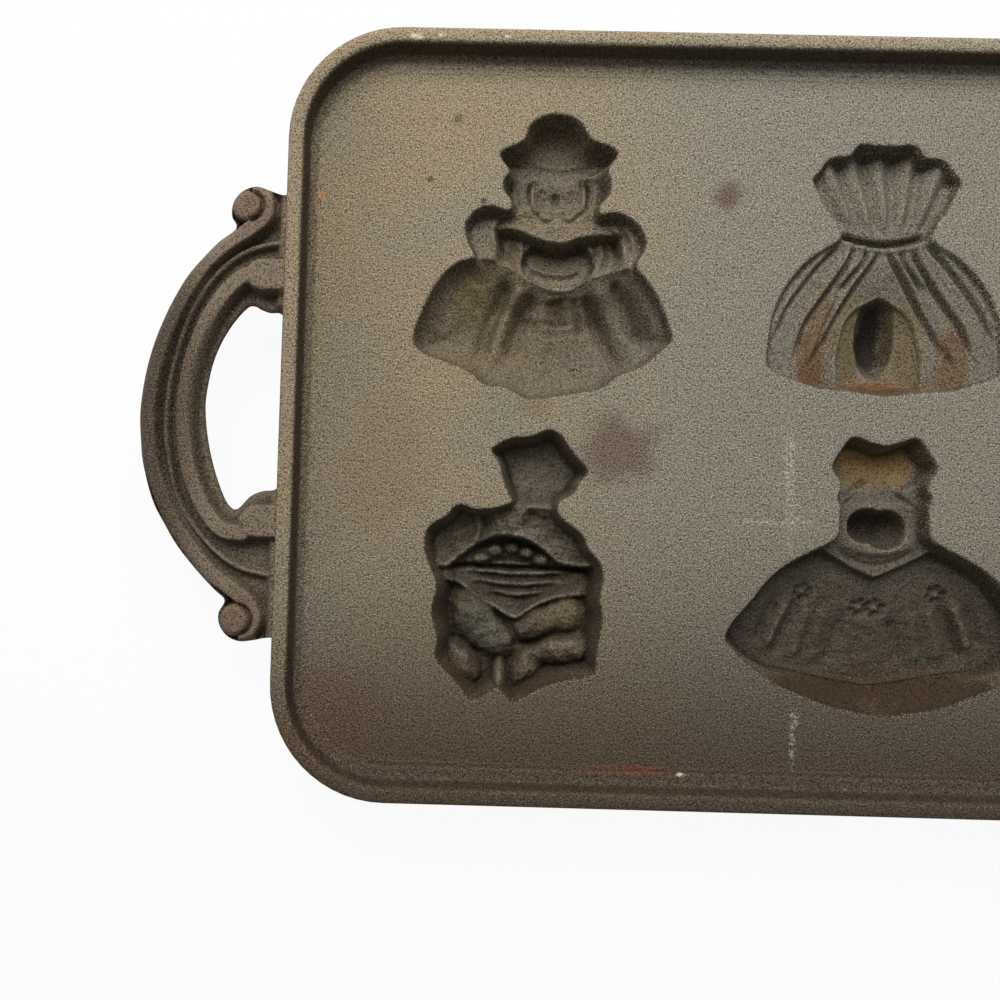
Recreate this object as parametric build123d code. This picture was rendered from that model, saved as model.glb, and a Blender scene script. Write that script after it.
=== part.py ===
from build123d import *
import math
import os

# Cast iron muffin pan, in millimetres. It stands on the flat bottoms of its six cups at Z = 0.
# X runs along the pan towards a handle, Y towards the figures' heads, and Z is up.

# Body
body_length = 350.0
body_depth = 222.0
corner_radius = 33.0
wall = 3.5

# Heights above the table
cup_bottom = 0.0
plate_bottom = 16.0
plate_top = 20.0
rim_top = 27.0

# Raised rim around the plate, with a low foot where it runs out onto the plate
rim_width = 5.0
rim_draft = 1.4
rim_rounding = 1.3
widest = rim_top - 2 * rim_rounding
foot_width = 3.5
foot_height = 0.7

# Cups: three columns of two, and the right-hand column repeats the left-hand one, mirrored
column_pitch = 100.0
girl_at = (-column_pitch, 47.0)
child_at = (-column_pitch - 8.0, -42.0)
sheaf_at = (0.0, 46.0)
lady_at = (0.0, -46.0)
cup_depth = plate_top - cup_bottom - wall
outline_depth = 6.5
outline_draft = 1.3
lip_taper = 2.0
form_rounding = [(0.62, 1.2), (0.88, 3.2), (1.0, 5.6)]
cut_margin = 1.0

# Handles
handle_bottom = 15.0
channel_floor = 21.0
ridge_top = 22.8
band_top = 24.5
boss_top = 25.0
band_width = 5.2
ridge_width = 1.7
handle_chamfer = 1.2
outer_boss_radius = 6.2
inner_boss_radius = 5.6
boss_chamfer = 0.7
handle_root = -body_length / 2 + rim_width / 2


def mirrored(half):
    """A closed outline from its left half, whose first and last points lie on the centre line."""
    return half + [(-x, y) for x, y in reversed(half[1:-1])]


# Outlines of the figures at the plate's top, about each cup's own centre
girl_outline = [
    (3.5, 42.5), (8, 41.5), (11, 38.5), (13, 35), (16.5, 34), (21, 31), (18, 26.5), (19, 20),
    (16, 16), (16, 12.5), (21, 13.5), (27.5, 9.5), (29.5, 2.5), (27, -3), (34, -12.5),
    (38, -24.5), (33, -29), (28, -33), (22.5, -34.5), (15.5, -39.5), (7, -41), (-2, -42.5),
    (-8.5, -40.5), (-15, -39), (-20.5, -35.5), (-25.5, -33), (-34.5, -30), (-38.5, -26.5),
    (-34.5, -14), (-28, -4), (-20.5, -1), (-24, 7.5), (-21, 13), (-15, 14.5), (-10, 13.5),
    (-10, 16.5), (-13, 20.5), (-11, 24.5), (-14, 30), (-9.5, 33), (-6.5, 35), (-4, 40.5),
]
girl_lip = [
    (3, 46.3), (11, 44.5), (17, 38.5), (24.3, 34), (24, 26.5), (23, 19.5), (27.5, 15.5),
    (33, 8.5), (33.3, 0), (38.5, -12), (42.3, -24.5), (36.5, -31.8), (25, -38), (14, -43.5),
    (0, -46.3), (-11, -44), (-23, -38), (-36.5, -33.3), (-42.5, -27), (-39, -14), (-32, -3.5),
    (-27.5, 2), (-27, 12), (-21, 17.5), (-16.5, 21), (-17.8, 31), (-11, 37.5), (-7, 43),
]
child_outline = [
    (6.5, 36), (12, 37.5), (16.5, 32.5), (22, 26), (19, 21.5), (14.5, 17.5), (13, 15),
    (14, 12.5), (20, 8), (22.5, 3), (26.5, -1.5), (27, -5.5), (26, -12), (27, -18.5),
    (25.5, -27), (25.5, -31), (21, -34), (9.5, -37), (2, -41.5), (-2, -37.5), (-4, -37.5),
    (-10, -41), (-13.5, -37.5), (-19.5, -31.5), (-21, -26.5), (-20.5, -22.5), (-22.5, -16),
    (-21, -8.5), (-24, -1.5), (-25, 6), (-21.5, 10.5), (-18.5, 12), (-14.5, 15.5), (-10, 14),
    (-0.5, 16), (-1.5, 20), (-3.5, 27), (-6.5, 31.5), (-1, 35),
]
child_lip = [
    (5, 39.8), (13, 41.3), (19.5, 35.5), (26, 27), (23, 19), (20, 13.5), (26, 5.5),
    (30.5, -2.5), (30, -12), (31, -19), (29.3, -32), (22, -38), (11, -40.8), (3, -45.2),
    (-3, -42.5), (-11, -44.8), (-17, -40), (-24.5, -30), (-26.3, -17), (-25, -8.5),
    (-28.5, 0), (-28.5, 9), (-22, 15.5), (-14, 19.3), (-7, 20), (-8, 27), (-10.5, 33),
    (-4, 38),
]
sheaf_outline = mirrored([
    (0, 36), (-7.5, 36.5), (-11, 32.5), (-17, 31.5), (-22, 25.5), (-18.5, 18), (-14, 12),
    (-13, 8), (-23, 1.5), (-30, -7.5), (-33.5, -16), (-35, -29), (-31, -32.5),
    (-22, -35.5), (-10.5, -37), (0, -38.3),
])
sheaf_lip = mirrored([
    (0, 40), (-9, 40.5), (-19, 35.5), (-26, 26), (-22.3, 16), (-19, 9), (-27, 3.5),
    (-34, -7), (-37.5, -16), (-39, -30), (-33, -36.5), (-22.5, -39.3), (-11, -41),
    (0, -42.2),
])
lady_outline = mirrored([
    (0, 39.3), (-9, 42), (-13.5, 36.5), (-15.5, 33), (-12.5, 27.5), (-13.5, 24),
    (-12.5, 20.5), (-13.5, 14), (-18.5, 9.5), (-30, 3), (-38.5, -7), (-45.5, -18),
    (-40, -24), (-29.5, -31), (-18, -35.5), (0, -38.8),
])
lady_lip = mirrored([
    (0, 43.3), (-10, 45.8), (-17.5, 39), (-19, 32), (-16.8, 24), (-17.8, 15),
    (-32.5, 6.3), (-42.3, -5.5), (-49.3, -18.5), (-42.5, -27), (-31, -34.5), (-19, -39.2),
    (0, -42.8),
])

# Deep forms of the figures: (centre, half width, half height, depth) of each rounded form
girl_forms = [
    ((2.5, 36), 7.5, 5, 9.0),
    ((4, 21.5), 11, 10, 12.5),
    ((3, 4), 22, 8, 10.0),
    ((4.5, -0.5), 11.5, 9.5, cup_depth),
]
child_forms = [
    ((8, 26), 11.5, 9.5, 12.5),
    ((0.5, 4), 20, 8.5, 11.0),
    ((1.5, -4), 15, 11, cup_depth),
    ((-9.5, -20), 10, 14, 14.0),
    ((11, -21), 12.5, 11.5, 14.0),
]
sheaf_forms = [
    ((0, 22.5), 16, 11, 10.5),
    ((0, 11), 11, 8, 9.0),
]
lady_forms = [
    ((0, 32), 11.5, 7.5, 12.0),
    ((0, 17), 10.5, 9, 11.0),
]

# Skirts and the sheaf's foot, which are too wide for one rounded form
girl_skirt = [
    (-17, -4), (20, -5), (30, -13), (34, -23.5), (26, -30.5), (12, -36.5), (-3, -38),
    (-18, -34), (-33, -27), (-30, -14),
]
sheaf_foot = mirrored([
    (0, 3.5), (-12, 2.5), (-24, -7.5), (-30, -20), (-29, -29), (-15, -33), (0, -34.3),
])
lady_skirt = mirrored([
    (0, 9), (-13, 7.5), (-27, 0.5), (-38, -10), (-41, -17.5), (-28, -28.5), (0, -35),
])

# Left handle at its top: its outer edge, the gap for fingers, the two raised bands and the ridge
handle_edge = [
    (-190, 52), (-202.5, 39.5), (-210, 25.5), (-215, 8), (-216, -4), (-214.5, -17.5),
    (-207.5, -34.5), (-197.5, -48), (-189.5, -56),
]
finger_gap = [
    (-177.5, 30), (-185, 31.5), (-191, 25.5), (-197, 12.5), (-198.5, 1), (-197.5, -9.5),
    (-192.5, -25.5), (-188, -30), (-181, -26), (-177.5, -27),
]
outer_band_line = [
    (-185, 52), (-192, 47.5), (-200, 38.5), (-207.7, 24.5), (-212.5, 8), (-213.4, -4),
    (-212, -17), (-205.3, -33), (-195.8, -45.8), (-185, -55),
]
ridge_line = [
    (-177, 48), (-187.5, 45.5), (-197.5, 36.5), (-206, 17.5), (-209, -3), (-205, -26),
    (-193, -42.5), (-177, -49),
]
inner_band_line = [
    (-184, 39), (-192.5, 33), (-200.5, 18), (-203, 1), (-202.5, -10), (-197, -28), (-188, -37),
]
outer_boss_places = [(-185.5, 58), (-185.5, -61)]
inner_boss_places = [(-181.5, 38.5), (-181.5, -34)]


def slab(length, depth, radius, bottom, top):
    """A flat plate with rounded corners, centred on the pan."""
    return extrude(Pos(0, 0, bottom) * RectangleRounded(length, depth, radius), top - bottom)


def tapered_slab(inset_low, inset_high, bottom, top):
    """The body's plan between two heights, drawn in by a different amount at each."""
    sections = []
    for inset, height in ((inset_low, bottom), (inset_high, top)):
        plan = RectangleRounded(
            body_length - 2 * inset, body_depth - 2 * inset, corner_radius - inset
        )
        sections.append(Pos(0, 0, height) * plan)
    return loft(sections, ruled=True)


def body_block():
    """The filled outside of the body, whose walls draw in a little towards the table."""
    block = tapered_slab(rim_draft, 0, plate_bottom, widest)
    block += slab(body_length, body_depth, corner_radius, widest, rim_top)
    top_edges = block.edges().group_by(Axis.Z)[-1]
    return fillet(top_edges, rim_rounding)


def drawn_in(points, inset):
    """An outline moved by the inset towards its own upright middle line."""
    lows = min(y for x, y in points)
    highs = max(y for x, y in points)
    middle = (min(x for x, y in points) + max(x for x, y in points)) / 2
    half_width = max(x for x, y in points) - middle
    lower_end = min(lows + half_width, (lows + highs) / 2)
    upper_end = max(highs - half_width, (lows + highs) / 2)
    moved = []
    for x, y in points:
        near = min(max(y, lower_end), upper_end)
        reach = math.hypot(x - middle, y - near)
        keep = max(reach - inset, 0.2) / reach
        moved.append((middle + (x - middle) * keep, near + (y - near) * keep))
    return moved


def plan(points, inset, height):
    """An outline's face at a height, drawn in by the inset."""
    return Pos(0, 0, height) * make_face(Polyline(*drawn_in(points, inset), close=True))


def oval(form, inset, height):
    """The level section of a rounded form at a height."""
    (x, y), half_width, half_height, depth = form
    narrower = inset * half_height / half_width if inset > 0 else inset
    return Pos(x, y, height) * Ellipse(half_width - inset, half_height - narrower)


def skirt(form, inset, height):
    """The level section of a wide form at a height."""
    points, depth = form
    return Pos(0, 0, height) * make_face(Spline(*drawn_in(points, inset), periodic=True))


def hanging(section, form, grow, top):
    """A rounded form below a height, grown by the wall where it is the outside of a cup."""
    reach = form[-1] + grow
    faces = [section(form, -grow, top)]
    for share, inset in form_rounding:
        faces.append(section(form, inset - grow, plate_top - reach * share))
    return loft(faces)


def cup(outline, lip, forms, wide_forms):
    """A figure-shaped cup with the lip that closes its hole in the plate, about its own centre."""
    lip_bottom = plate_top - outline_depth - wall
    outside = extrude(plan(lip, 0, plate_bottom), plate_top - plate_bottom)
    outside += loft([plan(lip, lip_taper, lip_bottom), plan(lip, 0, plate_bottom)], ruled=True)
    floor = plate_top - outline_depth
    hollow = loft([plan(outline, outline_draft, floor), plan(outline, 0, plate_top)], ruled=True)
    hollow += extrude(plan(outline, 0, plate_top), cut_margin)
    for section, group in ((oval, forms), (skirt, wide_forms)):
        for form in group:
            outside += hanging(section, form, wall, plate_bottom)
            hollow += hanging(section, form, 0, plate_top + cut_margin)
    return outside - hollow


def handle():
    """The left handle: a flat loop with two raised bands, a ridge between them and round bosses."""
    edge = Spline(*handle_edge)
    first, last = outer_boss_places
    ends = [
        (first[0], first[1] + outer_boss_radius), (handle_root, first[1] + outer_boss_radius),
        (handle_root, last[1] - outer_boss_radius), (last[0], last[1] - outer_boss_radius),
    ]
    closing = Polyline(handle_edge[0], *ends, handle_edge[-1])
    whole = make_face(edge + closing)
    gap = make_face(Spline(*finger_gap, periodic=True))
    solid = extrude(Pos(0, 0, handle_bottom) * (whole - gap), channel_floor - handle_bottom)
    solid = chamfer(solid.edges().group_by(Axis.Z)[0], handle_chamfer)
    solid += strip(outer_band_line, band_width, band_top) & extrude(whole, band_top)
    solid += strip(inner_band_line, band_width, band_top)
    solid += strip(ridge_line, ridge_width, ridge_top)
    bosses = [(place, outer_boss_radius) for place in outer_boss_places]
    bosses += [(place, inner_boss_radius) for place in inner_boss_places]
    for (x, y), radius in bosses:
        boss = extrude(Pos(x, y, handle_bottom) * Circle(radius), boss_top - handle_bottom)
        solid += chamfer(boss.edges().group_by(Axis.Z)[-1], boss_chamfer)
    return solid - body_block()


def strip(line, width, top):
    """A raised strip along a line on the handle's top."""
    track = trace(Spline(*line), width)
    return extrude(Pos(0, 0, channel_floor - 1) * track, top - channel_floor + 1)


def rim():
    """The raised rim, with the low foot that runs out onto the plate."""
    inner_length = body_length - 2 * rim_width
    inner_depth = body_depth - 2 * rim_width
    inner_radius = corner_radius - rim_width
    ring = body_block() - slab(inner_length, inner_depth, inner_radius, plate_bottom - 1, rim_top + 1)
    foot = slab(inner_length, inner_depth, inner_radius, plate_top, plate_top + foot_height)
    foot -= tapered_slab(rim_width + foot_width, rim_width + 0.4, plate_top, plate_top + foot_height)
    return ring + foot


def plate(lips):
    """The flat plate between the cups, with a hole for each cup's lip."""
    solid = slab(
        body_length - 2 * rim_width, body_depth - 2 * rim_width, corner_radius - rim_width,
        plate_bottom, plate_top,
    )
    for (x, y), lip, turned in lips:
        hole = extrude(plan(lip, 0, plate_bottom), plate_top - plate_bottom)
        if turned:
            hole = mirror(hole, Plane.YZ)
        solid -= Pos(x, y, 0) * hole
    return solid


def main():
    """Writes one file for each node."""
    cups = {
        "girl": (girl_at, girl_outline, girl_lip, girl_forms, [(girl_skirt, cup_depth - 1)]),
        "child": (child_at, child_outline, child_lip, child_forms, []),
        "sheaf": (sheaf_at, sheaf_outline, sheaf_lip, sheaf_forms, [(sheaf_foot, cup_depth)]),
        "lady": (lady_at, lady_outline, lady_lip, lady_forms, [(lady_skirt, cup_depth)]),
    }
    nodes = {}
    lips = []
    for name, (place, outline, lip, forms, wide_forms) in cups.items():
        solid = Pos(place[0], place[1], 0) * cup(outline, lip, forms, wide_forms)
        lips.append((place, lip, False))
        if place[0] == 0:
            nodes[f"cup_{name}"] = solid
        else:
            nodes[f"cup_{name}_left"] = solid
            nodes[f"cup_{name}_right"] = mirror(solid, Plane.YZ)
            lips.append(((-place[0], place[1]), lip, True))
    nodes["plate"] = plate(lips)
    nodes["rim"] = rim()
    nodes["handle_left"] = handle()
    nodes["handle_right"] = mirror(nodes["handle_left"], Plane.YZ)
    os.makedirs("parts", exist_ok=True)
    for name, solid in nodes.items():
        export_step(solid, f"parts/{name}.step")


main()
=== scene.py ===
import math

import bmesh
import bpy
import numpy as np
from mathutils import Matrix, Vector


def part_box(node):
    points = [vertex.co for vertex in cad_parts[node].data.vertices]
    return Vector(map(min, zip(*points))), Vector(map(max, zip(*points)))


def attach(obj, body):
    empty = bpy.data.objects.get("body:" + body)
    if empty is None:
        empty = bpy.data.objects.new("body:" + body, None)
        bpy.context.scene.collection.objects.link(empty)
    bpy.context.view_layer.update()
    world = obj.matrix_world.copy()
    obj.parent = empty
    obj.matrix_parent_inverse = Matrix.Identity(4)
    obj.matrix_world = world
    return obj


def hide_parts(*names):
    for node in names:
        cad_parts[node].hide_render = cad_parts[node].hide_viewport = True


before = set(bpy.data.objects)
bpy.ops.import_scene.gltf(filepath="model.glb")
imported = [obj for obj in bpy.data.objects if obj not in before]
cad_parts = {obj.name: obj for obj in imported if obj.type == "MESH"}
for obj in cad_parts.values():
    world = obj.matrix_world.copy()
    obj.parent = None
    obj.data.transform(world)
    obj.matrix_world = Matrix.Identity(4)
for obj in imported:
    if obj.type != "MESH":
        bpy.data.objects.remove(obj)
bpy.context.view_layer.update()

bl_info = {
    "name": "Figure muffin pan",
    "version": (1, 0, 0),
    "blender": (4, 5, 0),
    "location": "View3D > Sidebar > Muffin pan",
    "description": "Dresses a cast iron muffin pan with figure-shaped cups",
    "category": "Object",
}

# All shapes are worked out in millimetres in the pan's own frame, and written in metres
MM = 0.001
PLATE_TOP = round(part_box("plate")[1][2] / MM, 3)
PLATE_BOTTOM = round(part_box("plate")[0][2] / MM, 3)
HALF_LENGTH, HALF_DEPTH = (round(value / MM, 3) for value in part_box("rim")[1][:2])

# Centres of the cups on the plate
GIRL_AT = (-100.0, 47.0)
CHILD_AT = (-108.0, -42.0)
SHEAF_AT = (0.0, 46.0)
LADY_AT = (0.0, -46.0)


# How many millimetres a cup's wall falls in each millimetre from its edge
STEEP = 4.2


def mirrored(half):
    """A closed outline from its left half, whose first and last points lie on the centre line."""
    return half + [(-x, y) for x, y in reversed(half[1:-1])]


GIRL_OUTLINE = [
    (3.5, 42.5), (8, 41.5), (11, 38.5), (13, 35), (16.5, 34), (19.5, 32.5), (21, 31), (20, 29),
    (18, 26.5), (19, 23), (19, 20), (18, 17.5), (16, 16), (15.7, 12.8), (18, 13), (21, 13.5),
    (24.5, 12), (27.5, 9.5), (29.5, 6), (29.5, 2.5), (27.5, -0.5), (27, -3), (30.5, -7),
    (34, -12.5), (37, -20.5), (38, -24.5), (36, -26), (33, -29), (28, -33), (22.5, -34.5),
    (19.5, -37.5), (15.5, -39.5), (7, -41), (1, -42), (-4, -42.5), (-8.5, -40.5), (-11.5, -39),
    (-15, -39), (-18, -38), (-20.5, -35.5), (-25.5, -33), (-34.5, -30), (-38.5, -26.5),
    (-37, -20), (-34.5, -14), (-32, -9), (-28, -4), (-23.5, -1.5), (-20.5, -1), (-22, 2),
    (-24, 7.5), (-23, 10.5), (-21, 13), (-18, 14.5), (-15, 14.5), (-12.5, 13.5), (-10.2, 13.5),
    (-10.2, 16.5), (-12, 18.5), (-13, 20.5), (-12.5, 23), (-11, 24.5), (-11.5, 26.5),
    (-13, 28), (-14, 30), (-13, 31.5), (-9.5, 33), (-6.5, 35), (-6, 37.5), (-4, 40.5),
    (0, 42.3),
]
CHILD_OUTLINE = [
    (6.5, 36), (9, 37.5), (12, 37.5), (14.5, 35.5), (16.5, 32.5), (19.5, 29), (22, 26),
    (21, 24), (19, 22), (18.6, 20.5), (17, 18.5), (14.5, 17.5), (13, 15), (14, 12.5),
    (16.5, 10.5), (20, 8), (21.5, 6), (22.5, 3), (24.5, 1), (26.5, -1.5), (27, -5.5),
    (26.5, -8.5), (26, -12), (27, -15.5), (27, -18.5), (26, -23), (25.5, -27), (25.5, -31),
    (24.5, -33), (21, -34), (15, -35), (9.5, -37), (5, -39.5), (2, -41.5), (0, -40.5),
    (-2, -37.5), (-4, -37.5), (-6, -39), (-8, -40.5), (-10, -41), (-11.5, -40),
    (-13.5, -37.5), (-16.5, -34), (-19.5, -31.5), (-21, -29), (-21, -26.5), (-20.5, -22.5),
    (-22, -19), (-22.5, -16), (-22, -12.5), (-21, -8.5), (-22, -5.5), (-24, -1.5),
    (-25, 2.5), (-25, 6), (-24, 8.5), (-21.5, 10.5), (-18.5, 12), (-17, 14.5), (-14.5, 15.5),
    (-12, 14.5), (-10, 14), (-5, 14.5), (-0.5, 16), (0, 17), (-1.5, 20), (-3, 24),
    (-3.5, 27), (-5.5, 30), (-6.5, 31.5), (-4.5, 33), (-1, 35), (3.5, 35.5),
]
SHEAF_OUTLINE = mirrored([
    (0, 36), (-4, 36), (-7.5, 36.5), (-9.5, 35), (-11, 32.5), (-14.5, 32.5), (-17, 31.5),
    (-18.5, 30), (-20, 27.5), (-22, 25.5), (-20.5, 22.5), (-18.5, 18), (-15.5, 14),
    (-14, 11), (-13.2, 8), (-18, 5), (-23, 1.5), (-27, -3), (-30, -7.5), (-32, -12),
    (-33.5, -16), (-34, -21), (-35, -29), (-33, -31), (-31, -32.5), (-26.5, -34),
    (-22, -35.5), (-17.5, -36.5), (-10.5, -37), (-3, -38), (0, -38.2),
])
LADY_OUTLINE = mirrored([
    (0, 39.3), (-3, 40), (-6, 41), (-9, 42), (-11, 40.5), (-13.5, 36.5), (-15.5, 33),
    (-14, 30.5), (-13, 29), (-12.5, 27), (-13.5, 25), (-13.5, 23.5), (-12.5, 21),
    (-13, 19), (-13, 14.5), (-14, 12), (-18.5, 9.5), (-24.5, 6.5), (-30, 3), (-34.5, -1.5),
    (-38.5, -7), (-43, -12), (-45, -15.5), (-45.5, -18), (-43.5, -20.5), (-40, -24),
    (-36.5, -26.5), (-34, -28.5), (-29.5, -31), (-24, -33), (-18, -35.5), (-11, -37),
    (-2.5, -38.5), (0, -38.8),
])

# Left handle: its outer edge with the round bosses, the gap for fingers, and what stands on it
HANDLE_OUTLINE = [
    (-173, 62.5), (-177, 62.2), (-181, 63.5), (-185, 64.5), (-189, 62.8), (-191.3, 59.5),
    (-191.5, 55.5), (-190.2, 52), (-195.5, 47.5), (-202.5, 39.5), (-206.5, 33),
    (-210, 25.5), (-213, 17), (-215, 8), (-216, -2), (-215.5, -10.5), (-214.5, -17.5),
    (-211.5, -27.5), (-207.5, -34.8), (-203.5, -41), (-197.5, -48), (-192.5, -53),
    (-189.6, -55.8), (-191.2, -59.5), (-190.8, -63), (-188.5, -66), (-185, -67.4),
    (-181, -67), (-177, -66.2), (-173, -66), (-172.5, -62), (-172.5, -30), (-172.5, 30),
    (-172.5, 59),
]
FINGER_GAP = [
    (-176.5, 10), (-176.5, 25), (-177.4, 28.2), (-180.5, 28.4), (-183, 29.2),
    (-185, 30.2), (-187.2, 29.8), (-191, 25.5), (-194.5, 19.5), (-197, 12.5), (-198.5, 3.5),
    (-198.5, -2), (-197.5, -9.5),
    (-195.5, -17.5), (-192.5, -25.5), (-190, -29.2), (-187.8, -29.3), (-184.5, -25.8),
    (-181, -24.2), (-177.4, -23.6), (-176.5, -21), (-176.5, -8),
]
OUTER_BAND = [
    (-183.5, 63.3), (-181.4, 60), (-181.6, 55.5), (-185.5, 51.8), (-190.5, 48.4),
    (-194.6, 45.2), (-200.2, 38.8), (-207.8, 24.5), (-212.4, 8), (-213.3, -4),
    (-211.8, -17), (-205.3, -33), (-195.8, -45.8),
    (-190.5, -50.4), (-185.5, -53.8), (-182.2, -56.8), (-180.9, -61), (-183, -66),
]
MIDDLE_RIDGE = [
    (-176, 48.5), (-182, 47.5), (-187.5, 45.5), (-192.5, 42), (-197.5, 36.5), (-202.5, 28),
    (-206, 17.5), (-208.2, 7.5), (-209, -4.5), (-208, -14.5), (-205, -26), (-200, -34.5),
    (-193, -42), (-186, -46.5), (-176, -48.8),
]
INNER_BAND = [
    (-183, 38.5), (-187.5, 37.5), (-192.5, 32.5), (-197.5, 24), (-201, 14), (-202.8, 3),
    (-202.8, -8), (-200.8, -19), (-196.5, -29), (-191, -35.5), (-185, -36.5),
]
OUTER_BOSSES = [(-186.6, 58.4), (-186, -61.3)]
INNER_BOSSES = [(-181.7, 38.3), (-181.5, -33)]
# The handle's channel lies this far under its top, and these stand up from it
CHANNEL_DROP = 5.2
BAND_RISE = 4.7
BOSS_RISE = 5.0
RIDGE_RISE = 2.4
ROOT_RISE = 2.6


def smooth_outline(points, closed=True, steps=6):
    """Points of a smooth curve through the given ones, as an array."""
    given = np.array(points, dtype=float)
    count = len(given)
    if closed:
        before, after, beyond = (np.roll(given, shift, axis=0) for shift in (1, -1, -2))
        spans = count
    else:
        padded = np.vstack([2 * given[0] - given[1], given, 2 * given[-1] - given[-2]])
        before, given, after, beyond = (padded[n:n + count - 1] for n in range(4))
        spans = count - 1
    curve = []
    for n in range(spans):
        for t in np.arange(steps) / steps:
            curve.append(0.5 * (
                2 * given[n] + (after[n] - before[n]) * t
                + (2 * before[n] - 5 * given[n] + 4 * after[n] - beyond[n]) * t ** 2
                + (3 * given[n] - before[n] - 3 * after[n] + beyond[n]) * t ** 3
            ))
    if not closed:
        curve.append(np.array(points[-1], dtype=float))
    return np.array(curve)


def eased(curve, reach=3):
    """A closed curve of points with its corners eased, as sand moulding eases them."""
    return sum(np.roll(curve, shift, axis=0) for shift in range(-reach, reach + 1)) / (2 * reach + 1)


def reach_to_line(x, y, line, closed=False):
    """Distance from each point to a line, the nearest point on it, and how far along that is."""
    starts = line
    ends = np.roll(line, -1, axis=0) if closed else line[1:]
    best = np.full(x.shape, 1e9)
    near_x, near_y, along = (np.zeros(x.shape) for _ in range(3))
    for n, end in enumerate(ends):
        start = starts[n]
        run = end - start
        size = max(float(run @ run), 1e-9)
        t = np.clip(((x - start[0]) * run[0] + (y - start[1]) * run[1]) / size, 0, 1)
        foot_x, foot_y = start[0] + t * run[0], start[1] + t * run[1]
        reach = (x - foot_x) ** 2 + (y - foot_y) ** 2
        closer = reach < best
        best = np.where(closer, reach, best)
        near_x, near_y = np.where(closer, foot_x, near_x), np.where(closer, foot_y, near_y)
        along = np.where(closer, (n + t) / len(ends), along)
    return np.sqrt(best), near_x, near_y, along


def inside(x, y, loop):
    """True for the points inside a closed loop."""
    crossings = np.zeros(x.shape, dtype=bool)
    for start, end in zip(loop, np.roll(loop, -1, axis=0)):
        if start[1] == end[1]:
            continue
        spans = (start[1] > y) != (end[1] > y)
        at = start[0] + (y - start[1]) * (end[0] - start[0]) / (end[1] - start[1])
        crossings ^= spans & (x < at)
    return crossings


def inward_reach(x, y, loops):
    """Distance inside an outline with holes, negative outside it, and the nearest edge point."""
    within = np.zeros(x.shape, dtype=bool)
    reach = np.full(x.shape, 1e9)
    edge_x, edge_y = np.zeros(x.shape), np.zeros(x.shape)
    for loop in loops:
        within ^= inside(x, y, loop)
        distance, near_x, near_y, _ = reach_to_line(x, y, loop, closed=True)
        closer = distance < reach
        reach = np.where(closer, distance, reach)
        edge_x, edge_y = np.where(closer, near_x, edge_x), np.where(closer, near_y, edge_y)
    return np.where(within, reach, -reach), edge_x, edge_y


def deeper(a, b, blend):
    """The larger of two depths, with a soft fold where they meet."""
    fold = np.maximum(blend - np.abs(a - b), 0) / blend
    return np.maximum(a, b) + fold * fold * blend / 4


def shallower(a, b, blend):
    """The smaller of two depths, with a soft fold where they meet."""
    return -deeper(-a, -b, blend)


def dome(x, y, centre, half, turn=0.0):
    """An oval dome, 1 at its middle and 0 at its edge and beyond."""
    c, s = math.cos(turn), math.sin(turn)
    u = ((x - centre[0]) * c + (y - centre[1]) * s) / half[0]
    v = (-(x - centre[0]) * s + (y - centre[1]) * c) / half[1]
    return np.sqrt(np.clip(1 - u * u - v * v, 0, 1))


def rounded_wall(edge, width, deep):
    """Depth at a distance from the edge of a hollow whose wall is steep there and eases inwards."""
    return deep * (1 - (1 - np.clip(edge / width, 0, 1)) ** 2) ** 0.65


def ramp(value, low, high):
    """0 below low, 1 above high, and a soft step between."""
    t = np.clip((value - low) / (high - low), 0, 1)
    return t * t * (3 - 2 * t)


def stroke(x, y, points, width):
    """1 along a line, fading out over the width to either side and towards its two ends."""
    line = smooth_outline(points, closed=False, steps=4)
    reach, _, _, along = reach_to_line(x, y, line)
    ends = ramp(along, 0, 0.15) * (1 - ramp(along, 0.85, 1))
    return np.exp(-(reach / width) ** 2) * (0.25 + 0.75 * ends)


def crust(x, y):
    """The uneven surface that sand and baked-on seasoning leave, about 1 high."""
    coarse = np.sin(0.72 * x + 1.9 * np.sin(0.41 * y))
    coarse *= np.sin(0.63 * y + 1.7 * np.sin(0.37 * x + 1))
    fine = np.sin(1.9 * x + 2.3 * np.sin(1.1 * y + 2))
    fine *= np.sin(1.7 * y + 2.1 * np.sin(1.3 * x))
    return 0.6 * coarse + 0.4 * fine


def above(x, y, points, soft):
    """1 above a line that runs from left to right, 0 below it, soft where it passes."""
    line = smooth_outline(points, closed=False, steps=4)
    at = np.interp(x, line[:, 0], line[:, 1])
    return ramp(y - at, -soft, soft)


def blended(a, b, share):
    """One depth passing into another where the share goes from 0 to 1."""
    return a * (1 - share) + b * share


def both_sides(half):
    """An open line from its left half, whose last point lies on the centre line."""
    return half + [(-x, y) for x, y in reversed(half[:-1])]


def moved(line, along, up):
    """The same line a little to the right and up."""
    return [(x + along, y + up) for x, y in line]


def carved(depth, x, y, *cuts):
    """A depth with strokes added, each given by how deep, how wide and along which points."""
    for deep, width, points in cuts:
        depth = depth + deep * stroke(x, y, points, width)
    return depth


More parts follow.
